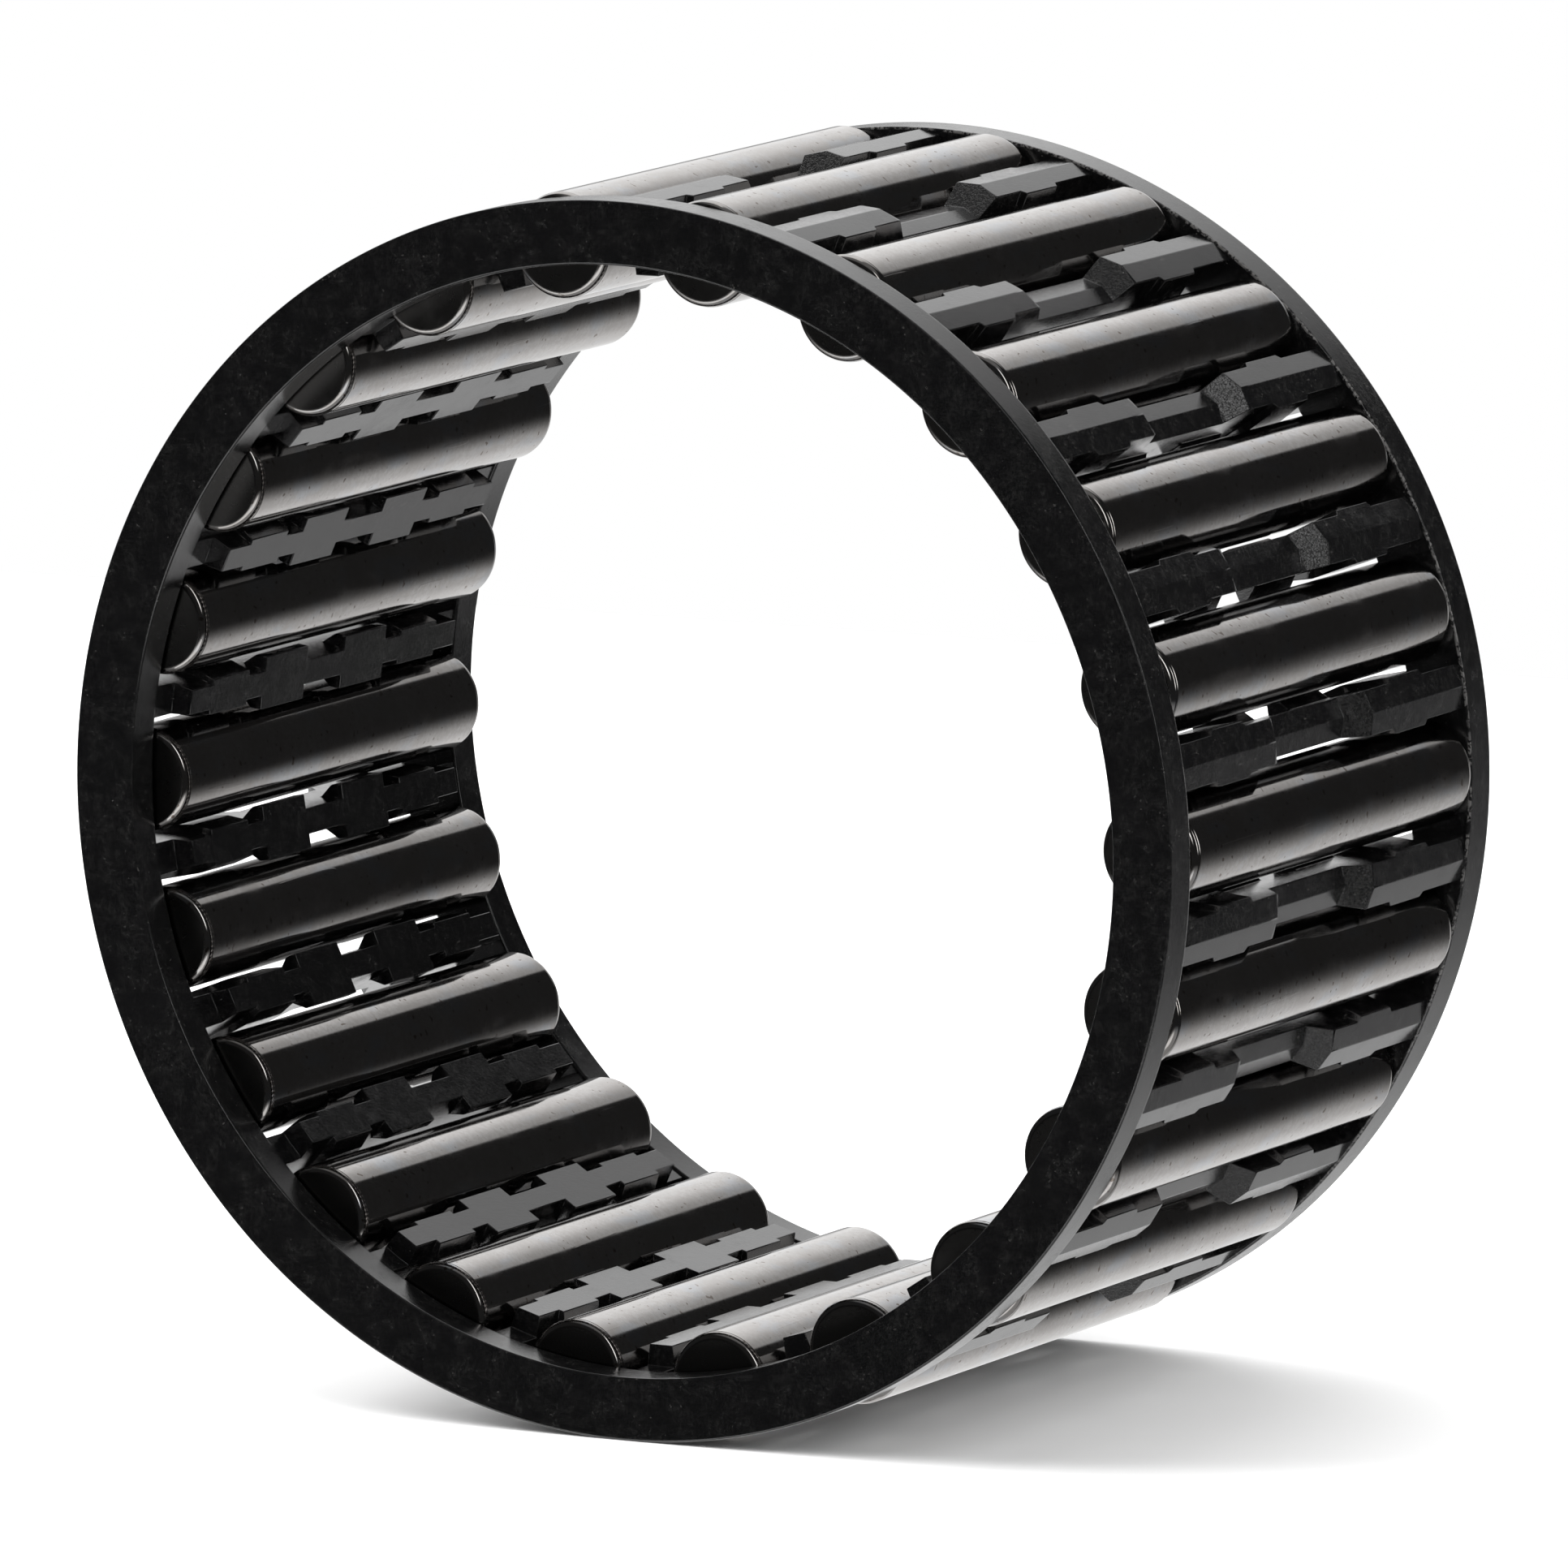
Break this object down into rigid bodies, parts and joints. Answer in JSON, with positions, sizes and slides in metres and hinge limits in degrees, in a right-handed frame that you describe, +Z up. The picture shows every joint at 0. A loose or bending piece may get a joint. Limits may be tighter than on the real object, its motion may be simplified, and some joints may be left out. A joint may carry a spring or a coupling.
{
  "type": "radial roller and cage assembly",
  "caption": "Radial needle roller and cage assembly: long steel rollers carried in the pockets of a one-piece moulded cage, with no inner or outer race ring.",
  "frame": {"origin": "centre of the assembly, on the axis of rotation, midway between the two ring faces", "axes": "+Y along the axis of rotation, from the front ring to the rear ring; +Z up; roller_01 lies on +X and the others follow towards +Z"},
  "size_m": [0.082, 0.045, 0.0814],
  "materials": {
    "cage_polyamide": "matt as-moulded, with a spark-eroded grain",
    "roller_steel": "ground and polished bearing steel"
  },
  "bodies": {
    "cage": {"cage": "cage_polyamide"},
    "roller_01": {"roller_01": "roller_steel"},
    "roller_02": {"roller_02": "roller_steel"},
    "roller_03": {"roller_03": "roller_steel"},
    "roller_04": {"roller_04": "roller_steel"},
    "roller_05": {"roller_05": "roller_steel"},
    "roller_06": {"roller_06": "roller_steel"},
    "roller_07": {"roller_07": "roller_steel"},
    "roller_08": {"roller_08": "roller_steel"},
    "roller_09": {"roller_09": "roller_steel"},
    "roller_10": {"roller_10": "roller_steel"},
    "roller_11": {"roller_11": "roller_steel"},
    "roller_12": {"roller_12": "roller_steel"},
    "roller_13": {"roller_13": "roller_steel"},
    "roller_14": {"roller_14": "roller_steel"},
    "roller_15": {"roller_15": "roller_steel"},
    "roller_16": {"roller_16": "roller_steel"},
    "roller_17": {"roller_17": "roller_steel"},
    "roller_18": {"roller_18": "roller_steel"},
    "roller_19": {"roller_19": "roller_steel"},
    "roller_20": {"roller_20": "roller_steel"},
    "roller_21": {"roller_21": "roller_steel"},
    "roller_22": {"roller_22": "roller_steel"}
  },
  "joints": [
    {"name": "roller_01_spin", "type": "hinge", "parent": "cage", "child": "roller_01", "pos_m": [0.0375, 0, 0], "axis": [0, 1, 0], "continuous": true},
    {"name": "roller_02_spin", "type": "hinge", "parent": "cage", "child": "roller_02", "pos_m": [0.03598, 0, 0.01056], "axis": [0, 1, 0], "continuous": true},
    {"name": "roller_03_spin", "type": "hinge", "parent": "cage", "child": "roller_03", "pos_m": [0.03155, 0, 0.02027], "axis": [0, 1, 0], "continuous": true},
    {"name": "roller_04_spin", "type": "hinge", "parent": "cage", "child": "roller_04", "pos_m": [0.02456, 0, 0.02834], "axis": [0, 1, 0], "continuous": true},
    {"name": "roller_05_spin", "type": "hinge", "parent": "cage", "child": "roller_05", "pos_m": [0.01558, 0, 0.03411], "axis": [0, 1, 0], "continuous": true},
    {"name": "roller_06_spin", "type": "hinge", "parent": "cage", "child": "roller_06", "pos_m": [0.00534, 0, 0.03712], "axis": [0, 1, 0], "continuous": true},
    {"name": "roller_07_spin", "type": "hinge", "parent": "cage", "child": "roller_07", "pos_m": [-0.00534, 0, 0.03712], "axis": [0, 1, 0], "continuous": true},
    {"name": "roller_08_spin", "type": "hinge", "parent": "cage", "child": "roller_08", "pos_m": [-0.01558, 0, 0.03411], "axis": [0, 1, 0], "continuous": true},
    {"name": "roller_09_spin", "type": "hinge", "parent": "cage", "child": "roller_09", "pos_m": [-0.02456, 0, 0.02834], "axis": [0, 1, 0], "continuous": true},
    {"name": "roller_10_spin", "type": "hinge", "parent": "cage", "child": "roller_10", "pos_m": [-0.03155, 0, 0.02027], "axis": [0, 1, 0], "continuous": true},
    {"name": "roller_11_spin", "type": "hinge", "parent": "cage", "child": "roller_11", "pos_m": [-0.03598, 0, 0.01056], "axis": [0, 1, 0], "continuous": true},
    {"name": "roller_12_spin", "type": "hinge", "parent": "cage", "child": "roller_12", "pos_m": [-0.0375, 0, 0], "axis": [0, 1, 0], "continuous": true},
    {"name": "roller_13_spin", "type": "hinge", "parent": "cage", "child": "roller_13", "pos_m": [-0.03598, 0, -0.01056], "axis": [0, 1, 0], "continuous": true},
    {"name": "roller_14_spin", "type": "hinge", "parent": "cage", "child": "roller_14", "pos_m": [-0.03155, 0, -0.02027], "axis": [0, 1, 0], "continuous": true},
    {"name": "roller_15_spin", "type": "hinge", "parent": "cage", "child": "roller_15", "pos_m": [-0.02456, 0, -0.02834], "axis": [0, 1, 0], "continuous": true},
    {"name": "roller_16_spin", "type": "hinge", "parent": "cage", "child": "roller_16", "pos_m": [-0.01558, 0, -0.03411], "axis": [0, 1, 0], "continuous": true},
    {"name": "roller_17_spin", "type": "hinge", "parent": "cage", "child": "roller_17", "pos_m": [-0.00534, 0, -0.03712], "axis": [0, 1, 0], "continuous": true},
    {"name": "roller_18_spin", "type": "hinge", "parent": "cage", "child": "roller_18", "pos_m": [0.00534, 0, -0.03712], "axis": [0, 1, 0], "continuous": true},
    {"name": "roller_19_spin", "type": "hinge", "parent": "cage", "child": "roller_19", "pos_m": [0.01558, 0, -0.03411], "axis": [0, 1, 0], "continuous": true},
    {"name": "roller_20_spin", "type": "hinge", "parent": "cage", "child": "roller_20", "pos_m": [0.02456, 0, -0.02834], "axis": [0, 1, 0], "continuous": true},
    {"name": "roller_21_spin", "type": "hinge", "parent": "cage", "child": "roller_21", "pos_m": [0.03155, 0, -0.02027], "axis": [0, 1, 0], "continuous": true},
    {"name": "roller_22_spin", "type": "hinge", "parent": "cage", "child": "roller_22", "pos_m": [0.03598, 0, -0.01056], "axis": [0, 1, 0], "continuous": true}
  ]
}
